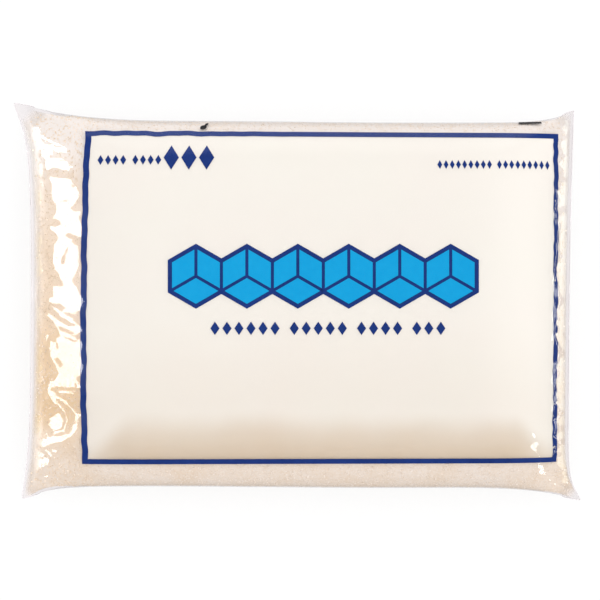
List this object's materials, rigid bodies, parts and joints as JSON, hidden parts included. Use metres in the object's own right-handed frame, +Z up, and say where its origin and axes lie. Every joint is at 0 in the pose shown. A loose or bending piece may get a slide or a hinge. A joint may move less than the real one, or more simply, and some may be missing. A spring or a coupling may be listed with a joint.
{
  "type": "sugar packet",
  "caption": "Clear film pillow pack of granulated sugar, lying on its back, welded across both ends, with pulled-out corners and a printed border round its face.",
  "frame": {"origin": "on the table, under the middle of the bag's box", "axes": "+X along the bag to the right, +Y across the bag towards its upper side, +Z up through its printed face"},
  "size_m": [0.2406, 0.1686, 0.042],
  "materials": {
    "sugar": "fine cream-white sugar crystals, matte with small glints, seen through the film",
    "film": "thin clear polyethylene film, glossy, creased at both ends",
    "blue_print": "dark blue ink on the film",
    "cyan_print": "light blue ink on the film",
    "black_print": "black ink of the small register marks on the film"
  },
  "bodies": {
    "root": {"bag": "sugar"}
  },
  "joints": []
}
